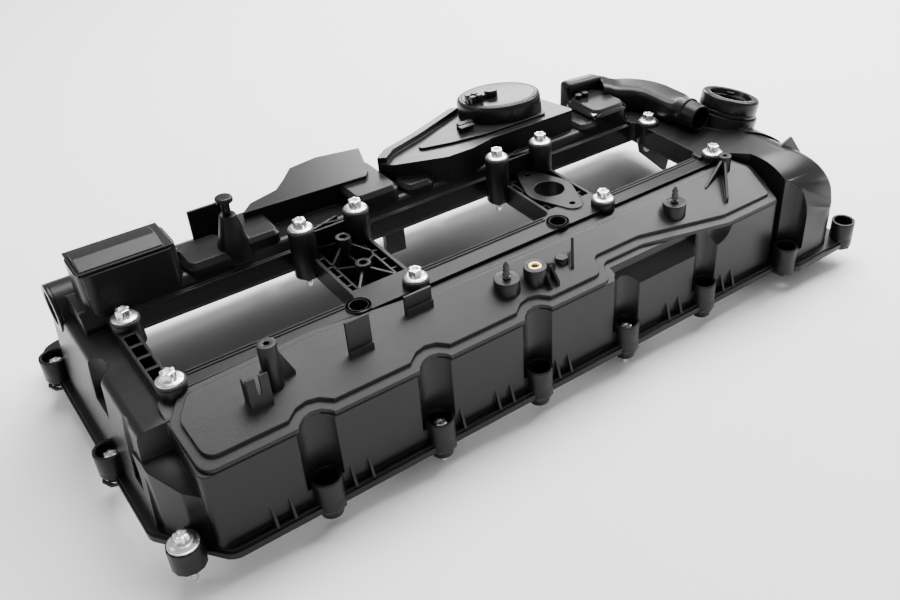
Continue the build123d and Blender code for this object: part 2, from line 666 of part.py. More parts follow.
# Lid of the square housing
wedge = [(104, box_top), (105, box_top + 3), (118, box_top + 7), (box_back - 9, box_top + 5), (box_back - 5, box_top)]
box_lid = along_x(wedge, -15, 42)
box_lid = fillet(box_lid.edges().filter_by(Axis.X).group_by(Axis.Z)[-1], 6)
parts["box_lid"] = box_lid + block(-17, 49, 103, box_back - 1.5, box_top, box_top + 2)

# Labyrinth cover with its two clips
leaf_front = valve_y - valve_diameter / 2 - 1.5
leaf = [(267, 137), (299, leaf_front + 6.5), (330, leaf_front), (400, leaf_front), (400, 150), (332, 172), (304, 158)]
cover = prism(leaf, 90, 140, radius=5) - above_rear(2)
cover = common(cover, above_rear(0)) - on_axis(valve_axis, -5, 30, valve_diameter + 1, seat_sides)
for x, y in [(316, 138), (320, 147)]:
    z = rear_deck_top - tilt * (y - rear_deck_y) + 1
    clip = block(x, x + 15, y, y + 2, z, z + 7) + block(x, x + 15, y - 3, y, z + 5.5, z + 7)
    cover += clip
parts["labyrinth_cover"] = cover

# Control valve: cap, membrane, plate and spring
ring_top = 5.5
cap = on_axis(valve_axis, 0.2, valve_skirt, valve_diameter, seat_sides)
cap -= on_axis(valve_axis, 0, ring_top + membrane_thickness, valve_diameter - 5, seat_sides)
cap -= on_axis(valve_axis, 0, valve_skirt - valve_top_wall, valve_diameter - 14, seat_sides)
knob = [valve_axis * Pos(-21 + dx, -2 + dy, valve_skirt - 0.5) * Box(5, 5, 7.5, align=(Align.CENTER, Align.CENTER, Align.MIN))
        for dx in (-10, -3) for dy in (-4, 4)]
knob.append(on_axis(valve_axis * Pos(-9, -2, 0), valve_skirt - 0.5, valve_skirt + 7, 12, hole_sides))
knob.append(valve_axis * Pos(-22, -2, valve_skirt - 0.5) * Box(26, 4, 5, align=(Align.CENTER, Align.CENTER, Align.MIN)))
parts["valve_cap"] = cap + knob
membrane = on_axis(valve_axis, ring_top, ring_top + membrane_thickness, valve_diameter - 6, seat_sides)
parts["valve_membrane"] = membrane
plate_low = ring_top + membrane_thickness
parts["valve_plate"] = on_axis(valve_axis, plate_low, plate_low + plate_thickness, plate_diameter, seat_sides)
turns = 4
steps = 10
rise = (ring_top + valve_well - spring_wire) / (turns * steps)
coil = Polyline(*[(spring_radius * cos(2 * pi * i / steps), spring_radius * sin(2 * pi * i / steps), i * rise)
                  for i in range(turns * steps + 1)])
wire = Plane(origin=coil @ 0, z_dir=coil % 0) * RegularPolygon(spring_wire / 2, 5)
spring = sweep(wire, path=coil, transition=Transition.RIGHT)
parts["valve_spring"] = valve_axis * Pos(0, 0, -valve_well + spring_wire / 2) * spring

# Breather duct: a flat tube that bends round a quarter turn, and a round spout
duct_x = spout_x + 2
duct_z = spout_height + 0.6
bend = [radians(duct_turn * i / duct_steps) for i in range(duct_steps + 1)]
route = [(duct_x, 62, duct_z)]
route += [(duct_x - duct_radius * (1 - cos(a)), 100 + duct_radius * sin(a), duct_z) for a in bend]
half_width = duct_width / 2
half_height = 11.5
section = [(half_width, 5), (half_width - 6, half_height), (6 - half_width, half_height), (-half_width, 5),
           (-half_width, -5), (6 - half_width, -half_height), (half_width - 6, -half_height), (half_width, -5)]
mouth = Plane(origin=route[0], x_dir=(1, 0, 0), z_dir=(0, 1, 0))
duct = sweep(mouth * make_face(Polyline(*section, close=True)), path=Polyline(*route), transition=Transition.RIGHT)
tube = Plane(origin=(spout_x, spout_mouth_y, spout_height + 2.3), x_dir=(1, 0, 0), z_dir=(0, 1, 0))
duct += tube * peg(0, 0, 0, 26, spout_diameter)
duct += tube * peg(0, 0, 15, 18, spout_diameter + 4, seat_sides)
duct -= tube * peg(0, 0, -1, 24, spout_bore, cup_sides)
duct -= [block(duct_x - 93, last_bolt_x - 2.7, 90, 190, 80, 140), block(duct_x - 53, right_edge, 20, 200, 60, dome_top),
         on_axis(filler_axis, -60, 5, filler_diameter + 4.6, seat_sides),
         *[peg(x, y, bolt_plane - bush_height, 180, inner_boss_diameter + 1.5, cup_sides) for x, y in short_bosses[-1:]]]
parts["breather_duct"] = duct

# Filler neck and the ring of the side port
neck = on_axis(filler_axis, -filler_height, 0, filler_diameter, seat_sides)
neck -= on_axis(filler_axis, -filler_height - 1, 1, filler_bore)
neck -= on_axis(filler_axis, -5, 1, filler_bore + 8, seat_sides)
parts["filler_neck"] = neck
ring = along_left(port_y, port_z, port_face - port_reach, port_face, port_diameter, seat_sides)
ring += along_left(port_y, port_z, port_face - 1, port_face + 5, port_bore - 0.4, seat_sides)
parts["port_ring"] = ring - along_left(port_y, port_z, -60, 0, port_bore - 5)

# Upright stud in the cone
stud = peg(stud_x, stud_y, stud_seat - 12, stud_head_bottom, stud_diameter - 0.6, hole_sides)
parts["mount_stud"] = stud + peg(stud_x, stud_y, stud_head_bottom, stud_head_top, stud_head_diameter)


def bolt(x, y, seat, tip, flange):
    """Flanged bolt with a six sided head."""
    head = peg(x, y, seat + 1, seat + bolt_flange_height + bolt_head_height, bolt_head_diameter, hole_sides)
    rim_disc = peg(x, y, seat, seat + bolt_flange_height, flange, flange_sides)
    return rim_disc + [head, peg(x, y, tip, seat + 1, bolt_diameter, hole_sides)]


def bush(x, y, seat, height, low, diameter, stem):
    """Flanged sleeve that takes the load of a bolt."""
    shape = peg(x, y, seat - height, seat, diameter, flange_sides) + peg(x, y, low, seat, stem, hole_sides)
    return shape - peg(x, y, low - 1, seat + 1, bolt_diameter + 2 * bolt_clearance, hole_sides)


tall_seat = bolt_plane + tall_boss_rise
outer_seat = cup_floor + outer_bush_height
corner_seat = corner_boss_top + bush_height
sleeve = bolt_hole - 0.4
parts["inner_bolts_short"] = [bolt(x, y, bolt_plane, inner_tip, bolt_flange_diameter) for x, y in short_bosses]
parts["inner_bolts_long"] = [bolt(x, y, tall_seat, inner_tip, bolt_flange_diameter) for x, y in tall_bosses]
parts["inner_bushes_short"] = [bush(x, y, bolt_plane, bush_height, rail_bottom, inner_boss_diameter, bush_stem)
                               for x, y in short_bosses]
parts["inner_bushes_long"] = [bush(x, y, tall_seat, bush_height, rail_bottom, inner_boss_diameter, bush_stem)
                              for x, y in tall_bosses]
parts["outer_bolts"] = [bolt(*all_sockets[i], outer_seat, nose_ends[i] - tip_reach, outer_flange_diameter)
                        for i in bolted]
parts["outer_bushes"] = [bush(*all_sockets[i], outer_seat, outer_bush_height, nose_ends[i], bush_diameter, sleeve)
                         for i in bolted]
parts["corner_bolt"] = bolt(*corner_socket, corner_seat, corner_tip, bolt_flange_diameter)
parts["corner_bush"] = bush(*corner_socket, corner_seat, bush_height, corner_nose_bottom, corner_boss_diameter - 3, sleeve)

# Gaskets: one around the flange, with an eyelet at every socket, and one around each window
seal = flange_outline(1.5) - flange_outline(flange_width - 1.5)
seal = seal + [Pos(x, y) * RegularPolygon(eyelet_radius, flange_sides) for x, y in all_sockets]
seal = seal - [Pos(x, y) * RegularPolygon(nose_diameter / 2 + 1, hole_sides) for x, y in all_sockets]
parts["outer_gasket"] = Pos(0, 0, -gasket_thickness) * extrude(seal, gasket_thickness, dir=(0, 0, 1))
for i in range(3):
    seal = rounded(shrink(openings[i], -bead_width - 0.6), 0) - rounded(shrink(openings[i], -0.6), 0)
    near_bolts = [(window_starts[i], bank_width), (window_ends[i], bank_width)]
    for x, y in near_bolts:
        seal = seal + Pos(x, y) * RegularPolygon(7, hole_sides)
    for x, y in near_bolts:
        seal = seal - Pos(x, y) * RegularPolygon(bush_stem / 2 + 0.5, hole_sides)
    parts[f"window_gasket_{i + 1}"] = Pos(0, 0, rail_bottom - bead_height) * extrude(seal, bead_height, dir=(0, 0, 1))

# Everything moves so that the origin sits at the middle of the underside
shapes = {name: Compound(children=shape) if isinstance(shape, list) else shape for name, shape in parts.items()}
boxes = [shape.bounding_box() for shape in shapes.values()]
shift_x = -(min(box.min.X for box in boxes) + max(box.max.X for box in boxes)) / 2
shift_y = -(min(box.min.Y for box in boxes) + max(box.max.Y for box in boxes)) / 2
shift_z = -min(box.min.Z for box in boxes)
print("shift", round(shift_x, 4), round(shift_y, 4), round(shift_z, 4))
for name, shape in shapes.items():
    export_step(Pos(shift_x, shift_y, shift_z) * shape, f"parts/{name}.step")
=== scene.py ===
# %% [markdown]
# # Engine valve cover
# The cover was drawn as solids first, so Blender only has to dress it.

# %% Open the solids
import bpy
import bmesh
import json
import math
from mathutils import Matrix, Vector


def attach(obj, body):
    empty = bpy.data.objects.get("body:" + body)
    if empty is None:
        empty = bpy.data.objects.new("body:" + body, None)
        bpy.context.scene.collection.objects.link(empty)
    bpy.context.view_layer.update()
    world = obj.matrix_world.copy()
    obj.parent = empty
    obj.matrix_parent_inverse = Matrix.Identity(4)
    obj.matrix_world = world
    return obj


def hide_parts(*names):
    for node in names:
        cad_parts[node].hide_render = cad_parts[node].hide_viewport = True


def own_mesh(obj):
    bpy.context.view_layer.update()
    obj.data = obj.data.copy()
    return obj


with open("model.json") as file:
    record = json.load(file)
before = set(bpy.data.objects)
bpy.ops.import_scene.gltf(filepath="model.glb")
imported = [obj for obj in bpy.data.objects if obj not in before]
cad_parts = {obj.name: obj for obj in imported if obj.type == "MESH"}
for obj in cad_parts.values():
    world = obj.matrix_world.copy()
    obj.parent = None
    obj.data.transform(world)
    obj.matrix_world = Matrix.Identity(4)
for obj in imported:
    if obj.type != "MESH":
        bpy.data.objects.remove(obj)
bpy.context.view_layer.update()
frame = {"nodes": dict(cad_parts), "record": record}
nodes = frame["nodes"]
scene = bpy.context.scene

# %% [markdown]
# ## Writing shader maths as expressions
# A node tree is easier to read as a formula. This small class wraps one output socket.
# Adding, multiplying or subtracting two of them makes the Math node and joins it up.
# Everything that isn't plain arithmetic goes through `Recipe.node`, which takes the kind
# of node, its settings and what goes into its sockets.


# %% Socket wrapper
class Value:
    """One output socket that can be used in an expression."""

    def __init__(self, recipe, socket):
        self.recipe = recipe
        self.socket = socket

    def math(self, operation, first, second):
        return self.recipe.node("ShaderNodeMath", dict(operation=operation), {0: first, 1: second})[0]

    def __add__(self, other):
        return self.math("ADD", self, other)

    def __radd__(self, other):
        return self.math("ADD", other, self)

    def __sub__(self, other):
        return self.math("SUBTRACT", self, other)

    def __rsub__(self, other):
        return self.math("SUBTRACT", other, self)

    def __mul__(self, other):
        return self.math("MULTIPLY", self, other)

    def clamp(self):
        return self.recipe.node("ShaderNodeClamp", {}, {0: self})[0]


class Recipe:
    """A material under construction, with one method for every node that isn't arithmetic."""

    def __init__(self, name):
        self.material = bpy.data.materials.new(name)
        self.material.use_nodes = True
        self.tree = self.material.node_tree
        self.tree.nodes.clear()
        self.output = self.tree.nodes.new("ShaderNodeOutputMaterial")

    def node(self, kind, settings, sockets):
        made = self.tree.nodes.new(kind)
        for name, value in settings.items():
            setattr(made, name, value)
        for key, value in sockets.items():
            target = made.inputs[key]
            if isinstance(value, Value):
                self.tree.links.new(value.socket, target)
            else:
                target.default_value = value
        return [Value(self, socket) for socket in made.outputs]

    def noise(self, scale, detail=3.0, rough=0.5, stretch=(1, 1, 1)):
        place = self.node("ShaderNodeTexCoord", {}, {})[3]
        place = self.node("ShaderNodeMapping", {}, {"Vector": place, "Scale": stretch})[0]
        sockets = {"Vector": place, "Scale": scale, "Detail": detail, "Roughness": rough}
        return self.node("ShaderNodeTexNoise", {}, sockets)[0]

    def mix(self, factor, first, second):
        return self.node("ShaderNodeMix", dict(data_type="RGBA"), {0: factor, 6: first, 7: second})[2]

    def edges(self, radius):
        """Rounded normal, and how far it leans away from the flat one: high on edges only."""
        soft = self.node("ShaderNodeBevel", dict(samples=6), {"Radius": radius})[0]
        flat = self.node("ShaderNodeNewGeometry", {}, {})[1]
        same = self.node("ShaderNodeVectorMath", dict(operation="DOT_PRODUCT"), {0: soft, 1: flat})[1]
        return soft, ((1.0 - same) * 5.0).clamp()

    def bump(self, height, strength, normal):
        sockets = {"Strength": strength, "Distance": 0.0002, "Height": height, "Normal": normal}
        return self.node("ShaderNodeBump", {}, sockets)[0]

    def finish(self, **sockets):
        named = {name.replace("_", " "): value for name, value in sockets.items()}
        shader = self.node("ShaderNodeBsdfPrincipled", {}, named)[0]
        self.tree.links.new(shader.socket, self.output.inputs["Surface"])
        return self.material


# %% [markdown]
# ## Moulded black nylon
# The cover is glass filled nylon. Close up its skin has a fine grain, cloudy patches where
# the glass came to the surface, and a satin gloss that changes from patch to patch. Real
# moulds have a small radius on every edge. Cutting that into the mesh would cost many
# faces, so the Bevel node rounds the edges for the light only. The same node tells where
# an edge is, and there the plastic is a little paler and smoother, as handling leaves it.


# %% Nylon, in three glosses
def nylon(name, shade, gloss, grain, edge):
    """Satin moulded plastic. shade is the base grey, gloss the roughness."""
    r = Recipe(name)
    cloud = r.noise(9.0, 4.0, 0.6)
    flow = r.noise(30.0, 3.0, 0.55, (1.0, 3.0, 3.0))
    fine = r.noise(900.0, 2.0, 0.6)
    speck = r.noise(260.0, 3.0, 0.7)
    soft, worn = r.edges(edge)
    dark = (shade * 0.70, shade * 0.71, shade * 0.74, 1)
    light = (shade * 1.35, shade * 1.36, shade * 1.42, 1)
    base = r.mix((cloud * 0.6 + speck * 0.25 + flow * 0.3 - 0.1).clamp(), dark, light)
    base = r.mix(worn * 0.6, base, (shade * 3.2, shade * 3.2, shade * 3.3, 1))
    rough = gloss + (cloud - 0.5) * 0.18 + (speck - 0.5) * 0.10 + (flow - 0.5) * 0.10 - worn * 0.08
    return r.finish(Base_Color=base, Roughness=rough, Specular_IOR_Level=0.22,
                    Normal=r.bump(fine + speck * 0.6, grain, soft))


finishes = {
    "body_plastic": nylon("body_plastic", 0.006, 0.33, 0.30, 0.0012),
    "lid_plastic": nylon("lid_plastic", 0.009, 0.37, 0.34, 0.0010),
    "cap_plastic": nylon("cap_plastic", 0.006, 0.28, 0.20, 0.0008),
}
print("nylon finishes", len(finishes))

# %% [markdown]
# ## Metal and rubber
# The bolts are zinc plated steel. Plating is made of small crystals, so its roughness is
# blotchy while its colour hardly changes, and dirt stays in the hollows. The insert is
# turned brass. Seals are dull black rubber with a dusty bloom.


# %% Metals and rubber
def metal(name, colour, gloss, spread):
    """Plated or turned metal with patches of a different roughness."""
    r = Recipe(name)
    patch = r.noise(340.0, 4.0, 0.65)
    stain = r.noise(60.0, 3.0, 0.5)
    soft, worn = r.edges(0.0005)
    dull = tuple(c * 0.70 for c in colour) + (1,)
    bright = tuple(min(1.0, c * 1.08) for c in colour) + (1,)
    shade = r.mix((stain * 1.4 - 0.2 + worn * 0.5).clamp(), dull, bright)
    rough = gloss + (patch - 0.5) * spread - worn * 0.1
    return r.finish(Base_Color=shade, Roughness=rough, Metallic=1.0, Normal=r.bump(patch, 0.25, soft))


def rubber(name, shade):
    """Dull moulded rubber with a faint bloom."""
    r = Recipe(name)
    bloom = r.noise(45.0, 4.0, 0.6)
    soft, worn = r.edges(0.0006)
    colour = r.mix(bloom, (shade, shade, shade, 1), (shade * 2.2, shade * 2.2, shade * 2.1, 1))
    return r.finish(Base_Color=colour, Roughness=0.60 + bloom * 0.2 - worn * 0.1,
                    Normal=r.bump(r.noise(700.0, 2.0), 0.3, soft))


finishes["zinc"] = metal("zinc", (0.82, 0.82, 0.81), 0.30, 0.26)
finishes["spring_steel"] = metal("spring_steel", (0.62, 0.62, 0.60), 0.30, 0.15)
finishes["dark_steel"] = metal("dark_steel", (0.10, 0.10, 0.11), 0.42, 0.20)
finishes["brass"] = metal("brass", (0.86, 0.68, 0.36), 0.28, 0.20)
finishes["seal_rubber"] = rubber("seal_rubber", 0.010)
finishes["membrane"] = rubber("membrane", 0.014)
print("finishes", sorted(finishes))

# %% [markdown]
# ## Places on the cover
# The drawing counts millimetres from the first inner bolt, and the frame counts metres
# from the middle of the underside. `at` turns one into the other, and `drawn` turns it
# back. The layout repeats the cylinder pitch, so almost every place follows from a few
# numbers. Bolts are read from their solids: each loose part of the node is one bolt, and
# its box gives its axis.

# %% Layout
pitch = 91.0
window_pitch = 2 * pitch
window_span = 135.4
bank_width = 84.3
last_bolt = 2 * window_pitch + 131.0
bolt_plane = 101.0
tall_plane = 120.7
rail_top = 95.0
rail_bottom = 80.0
deck_slope = math.tan(math.radians(20.5))
rim_y, rim_z = -63.5, 73.0
millimetre = 0.001
middle_x, middle_y, lowest_z = 281.0, 73.75, -18.0


def at(x, y, z):
    """Point of the drawing as a place in the frame."""
    return Vector((x - middle_x, y - middle_y, z - lowest_z)) * millimetre


def drawn(vert):
    """Point of the drawing where a vertex of a mesh stands."""
    return vert.co / millimetre + Vector((middle_x, middle_y, lowest_z))


def deck(y):
    """Height of the welded rim of the separator lid at this y."""
    return rim_z + deck_slope * (y - rim_y)


def loose_parts(name):
    """Middle in x and y, lowest and highest z of every loose part of a node."""
    shape = bmesh.new()
    shape.from_mesh(nodes[name].data)
    bmesh.ops.remove_doubles(shape, verts=shape.verts, dist=1e-6)
    left = set(shape.verts)
    found = []
    while left:
        group = [left.pop()]
        for vert in group:
            near = [edge.other_vert(vert) for edge in vert.link_edges]
            group += [v for v in near if v in left]
            left -= set(near)
        xs, ys, zs = ([v.co[i] for v in group] for i in range(3))
        found.append(((min(xs) + max(xs)) / 2, (min(ys) + max(ys)) / 2, min(zs), max(zs)))
    shape.free()
    return sorted(found)


short_bosses = [(i * window_pitch, 0.0) for i in range(3)]
short_bosses += [(0.0, bank_width), (last_bolt, 0.0), (last_bolt, bank_width)]
tall_bosses = [(window_span, bank_width), (window_pitch, bank_width),
               (window_pitch + window_span, bank_width), (2 * window_pitch, bank_width)]
rings = [(window_span, 2.0), (window_pitch + window_span, 2.0)]
front_sockets = [(64.0 + i * (pitch - 0.4), -64.2) for i in range(5)]
end_sockets = [(last_bolt + 31.0, -72.0), (last_bolt + 108.0, -77.5)]
side_sockets = [(-41.0, 53.8), (-41.0, 184.0)]
side_sockets += [(x, 225.0) for x in (20.0, 154.0, 240.0, 336.0, 440.0, 570.0)]
print("sockets", len(front_sockets + end_sockets + side_sockets), "bolts", len(loose_parts("outer_bolts")))

# %% [markdown]
# ## Two ways to make a form
# Most small pieces of the cover are turned: cups, bosses, bushes, necks. A turned form is
# a list of radius and height pairs swept round an axis. Every corner of the list is cut
# off twice first, which leaves a small radius that catches the light. Ducts and beads are
# the other kind: one outline after another along a path.


# %% Turned forms
def soften(profile, radius):
    """Cut every corner of a closed outline into a short round."""
    points = []
    count = len(profile)
    for i in range(count):
        before, here, after = (Vector(profile[j % count]) for j in (i - 1, i, i + 1))
        reach = min(radius, (before - here).length * 0.4, (after - here).length * 0.4)
        if here.x < 1e-6 or reach < 0.02:
            points.append(here)
            continue
        start = here + (before - here).normalized() * reach
        finish = here + (after - here).normalized() * reach
        points += [start, (start + finish) / 4 + here / 2, finish]
    return points


def sleeve(inner, outer, low, high):
    """Profile of a plain tube."""
    return [(inner, low), (outer, low), (outer, high), (inner, high)]


def turned(name, profile, place=None, steps=48, radius=0.5, foot=None):
    """Closed profile of radius and height, in millimetres, turned round the axis of a matrix."""
    place = place or Matrix.Identity(4)
    shape = bmesh.new()
    points = soften(profile, radius)
    rows = []
    for r, z in points:
        row = []
        for i in range(steps if r > 1e-6 else 1):
            angle = 2 * math.pi * i / steps
            spot = Vector((r * math.cos(angle), r * math.sin(angle), z))
            if foot:
                spot.z = max(spot.z, foot(spot))
            row.append(shape.verts.new(place @ (spot * millimetre)))
        rows.append(row)
    for low, high in zip(rows, rows[1:] + rows[:1]):
        for i in range(steps):
            j = (i + 1) % steps
            corners = [low[i % len(low)], low[j % len(low)], high[j % len(high)], high[i % len(high)]]
            corners = list(dict.fromkeys(corners))
            if len(corners) > 2 and len(low) + len(high) > 2:
                shape.faces.new(corners)
    return made(name, shape)


def made(name, shape, angle=38.0):
    """Turn a bmesh into an object, smooth over its curves and crisp at its corners."""
    bmesh.ops.recalc_face_normals(shape, faces=shape.faces)
    limit = math.radians(angle)
    for face in shape.faces:
        face.smooth = True
    for edge in shape.edges:
        edge.smooth = edge.is_manifold and edge.calc_face_angle(0) < limit
    mesh = bpy.data.meshes.new(name)
    shape.to_mesh(mesh)
    shape.free()
    piece = bpy.data.objects.new(name, mesh)
    scene.collection.objects.link(piece)
    return piece


def joined(name, pieces):
    """One object from several, whose meshes already hold their places."""
    shape = bmesh.new()
    for piece in pieces:
        shape.from_mesh(piece.data)
        bpy.data.objects.remove(piece)
    mesh = bpy.data.meshes.new(name)
    shape.to_mesh(mesh)
    shape.free()
    whole = bpy.data.objects.new(name, mesh)
    scene.collection.objects.link(whole)
    return whole


def brick(name, corners, place, radius=0.5):
    """Block between two corners, in millimetres, with its edges rounded."""
    (x0, y0, z0), (x1, y1, z1) = corners
    shape = bmesh.new()
    bmesh.ops.create_cube(shape, size=1.0)
    size = Matrix.Diagonal((x1 - x0, y1 - y0, z1 - z0, 1))
    middle = Matrix.Translation(((x0 + x1) / 2, (y0 + y1) / 2, (z0 + z1) / 2))
    bmesh.ops.transform(shape, matrix=middle @ size, verts=shape.verts)
    bmesh.ops.bevel(shape, geom=shape.edges[:], offset=radius, segments=3, profile=0.5, affect="EDGES")
    bmesh.ops.transform(shape, matrix=place @ Matrix.Scale(millimetre, 4), verts=shape.verts)
    return made(name, shape)


def stand(x, y, z=0.0):
    """Matrix that sets an upright form on a point of the drawing."""
    return Matrix.Translation(at(x, y, z))


def dress(piece, finish, body="cover", stands_for=()):
    """Give a piece its finish, the body it rides on and the node it stands for."""
    piece.data.materials.clear()
    piece.data.materials.append(finishes[finish])
    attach(piece, body)
    if stands_for:
        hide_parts(*stands_for)
    return piece


print("turned, joined, brick and dress are ready")

# %% [markdown]
# ## A node group that sets a piece on many places
# Eighteen bolts are the same bolt. One Geometry Nodes tree sets an object on every point
# of a mesh, turns each copy by a random angle from a fixed seed, stretches it to the
# length stored at the point, makes it real and gives it its material.


# %% Tree that repeats a piece
def repeat_tree():
    """Group with inputs for the piece, its random turn, the seed and the finish."""
    tree = bpy.data.node_groups.new("set_on_places", "GeometryNodeTree")
    face = tree.interface
    face.new_socket("Geometry", in_out="OUTPUT", socket_type="NodeSocketGeometry")
    face.new_socket("Places", in_out="INPUT", socket_type="NodeSocketGeometry")
    face.new_socket("Piece", in_out="INPUT", socket_type="NodeSocketObject")
    face.new_socket("Turn spread", in_out="INPUT", socket_type="NodeSocketFloat")
    face.new_socket("Seed", in_out="INPUT", socket_type="NodeSocketInt")
    face.new_socket("Finish", in_out="INPUT", socket_type="NodeSocketMaterial")
    new = tree.nodes.new
    link = tree.links.new
    entry, leave = new("NodeGroupInput"), new("NodeGroupOutput")
    source, place = new("GeometryNodeObjectInfo"), new("GeometryNodeInstanceOnPoints")
    chance, turn = new("FunctionNodeRandomValue"), new("FunctionNodeAxisAngleToRotation")
    reach, size = new("GeometryNodeInputNamedAttribute"), new("ShaderNodeCombineXYZ")
    real, paint = new("GeometryNodeRealizeInstances"), new("GeometryNodeSetMaterial")
    reach.inputs["Name"].default_value = "reach"
    turn.inputs["Axis"].default_value = (0, 0, 1)
    size.inputs[0].default_value = 1.0
    size.inputs[1].default_value = 1.0
    link(entry.outputs["Piece"], source.inputs["Object"])
    link(entry.outputs["Places"], place.inputs["Points"])
    link(source.outputs["Geometry"], place.inputs["Instance"])
    link(entry.outputs["Turn spread"], chance.inputs[3])
    link(entry.outputs["Seed"], chance.inputs["Seed"])
    link(chance.outputs[1], turn.inputs["Angle"])
    link(turn.outputs[0], place.inputs["Rotation"])
    link(reach.outputs[0], size.inputs[2])
    link(size.outputs[0], place.inputs["Scale"])
    link(place.outputs[0], real.inputs[0])
    link(real.outputs[0], paint.inputs["Geometry"])
    link(entry.outputs["Finish"], paint.inputs["Material"])
    link(paint.outputs[0], leave.inputs[0])
    return tree


repeat = repeat_tree()


def set_on(name, piece, places, finish, spread=2 * math.pi, seed=3):
    """Copies of a piece on places given as a point and a stretch."""
    mesh = bpy.data.meshes.new(name)
    mesh.from_pydata([spot for spot, _ in places], [], [])
    reach = mesh.attributes.new("reach", "FLOAT", "POINT")
    for i, (_, stretch) in enumerate(places):
        reach.data[i].value = stretch
    holder = bpy.data.objects.new(name, mesh)
    scene.collection.objects.link(holder)
    modifier = holder.modifiers.new("repeat", "NODES")
    modifier.node_group = repeat
    values = {"Piece": piece, "Turn spread": spread, "Seed": seed, "Finish": finishes[finish]}
    for item in repeat.interface.items_tree:
        if item.in_out == "INPUT" and item.name in values:
            modifier[item.identifier] = values[item.name]
    graph = bpy.context.evaluated_depsgraph_get()
    plain = bpy.data.meshes.new_from_object(holder.evaluated_get(graph))
    holder.modifiers.clear()
    holder.data = plain
    return holder


print("inputs", [item.name for item in repeat.interface.items_tree if item.in_out == "INPUT"])

# %% [markdown]
# ## Bolts
# The bolts have a wide flange with a sloping top and a head with six round lobes. The
# lobes are one formula: the radius goes up and down six times on the way round. The
# shank is a turned row of grooves, ten millimetres tall, and the tree stretches it to the
# length of each bolt. A true helix would cost many more faces and look the same from here.


# %% Head, shank and all eighteen bolts
def lobed_head(name, radius, height, lobes=6, swing=0.09, steps=96):
    """Head of a bolt whose outline swings in and out, with a rounded rim and a dished top."""
    shape = bmesh.new()
    rows = []
    rim = [(1.0, 0.0), (1.0, 0.82), (0.95, 0.95), (0.82, 1.0), (0.45, 1.0), (0.38, 0.82)]
    for scale, rise in rim:
        row = []
        for i in range(steps):
            angle = 2 * math.pi * i / steps
            wave = 1.0 - swing + swing * math.cos(lobes * angle) if scale > 0.6 else 1.0
            reach = radius * scale * wave
            spot = Vector((reach * math.cos(angle), reach * math.sin(angle), height * rise))
            row.append(shape.verts.new(spot * millimetre))
        rows.append(row)
    for low, high in zip(rows, rows[1:]):
        for i in range(steps):
            j = (i + 1) % steps
            shape.faces.new((low[i], low[j], high[j], high[i]))
    shape.faces.new(rows[-1])
    shape.faces.new(rows[0][::-1])
    return made(name, shape)


def bolts(name, flange_radius):
    """All bolts of one node: heads, then threaded shanks."""
    parts = loose_parts(name)
    head_height, flange_height = 5.5, 2.2
    heads, shanks = [], []
    for x, y, low, high in parts:
        seat = high - (head_height + flange_height) * millimetre
        heads.append((Vector((x, y, seat)), 1.0))
        shanks.append((Vector((x, y, low)), (seat - low) / (10 * millimetre)))
    washer = [(0, 0), (flange_radius, 0), (flange_radius, flange_height / 2), (6.4, flange_height),
              (0, flange_height)]
    flange = turned("flange", washer, radius=0.35)
    head = lobed_head("head", 5.2, head_height)
    head.data.transform(Matrix.Translation((0, 0, flange_height * millimetre)))
    top = joined("top", [flange, head])
    groove = 0.42
    thread = [(2.55 + groove * (i % 2), 0.35 + groove * i) for i in range(23)]
    shank = turned("shank", [(0, 0), (2.1, 0), *thread, (2.6, 10.05), (0, 10.05)], steps=24, radius=0.05)
    both = [set_on("heads", top, heads, "zinc"), set_on("shanks", shank, shanks, "zinc")]
    for base in (top, shank):
        bpy.data.objects.remove(base)
    return dress(joined("look_" + name, both), "zinc", stands_for=(name,)), len(parts)


bolt_flanges = {"inner_bolts_short": 8.9, "inner_bolts_long": 8.9, "outer_bolts": 7.4, "corner_bolt": 8.9}
for name, flange_radius in bolt_flanges.items():
    piece, count = bolts(name, flange_radius)
    print(name, count, "bolts", len(piece.data.polygons), "faces")


# %% [markdown]
# ## Bushes under the bolts
# Each bolt pulls on a flanged sleeve with a seal, so the plastic isn't crushed. The sleeve
# is a closed profile: up the outside of the stem, round the flange, down through the bore.


# %% Bushes
def bushes(name, flange_radius, flange_height, stem, bore=3.6):
    """Turned sleeves of one node, read from its loose parts."""
    places = []
    for x, y, low, high in loose_parts(name):
        depth = (high - low) / millimetre
        profile = [(bore, 0), (stem, 0), (stem, depth - flange_height),
                   (flange_radius, depth - flange_height), (flange_radius, depth), (bore, depth)]
        places.append(turned("bush", profile, Matrix.Translation((x, y, low)), steps=40, radius=0.4))
    return dress(joined("look_" + name, places), slot_of[name], stands_for=(name,))


slot_of = {entry["node"]: entry["material_slot"] for entry in frame["record"]["subparts"]}
bodies = frame["record"]["behaviour"]["bodies"]
body_of = {name: body for body, members in bodies.items() for name in members}
bush_sizes = {
    "inner_bushes_short": (9.9, 1.5, 4.3),
    "inner_bushes_long": (9.9, 1.5, 4.3),
    "outer_bushes": (7.9, 4.0, 4.0),
    "corner_bush": (10.3, 1.5, 4.0),
}
for name, (flange_radius, flange_height, stem) in bush_sizes.items():
    piece = bushes(name, flange_radius, flange_height, stem)
    print(name, len(piece.data.polygons), "faces")

# %% [markdown]
# ## Smooth curves, crisp edges
# The large mouldings keep their solids' shape. Each one gets a copy whose doubled corners
# are merged and which is smooth wherever two faces meet at a small angle. The body gets
# two rounds more. On the dome the two rolls meet in a crease, where the real cover has one
# round corner, so the points there sink to a blended surface. The box at the end of the
# duct has sharp edges in the solids, and a bevel gives it the soft rim of a moulding.


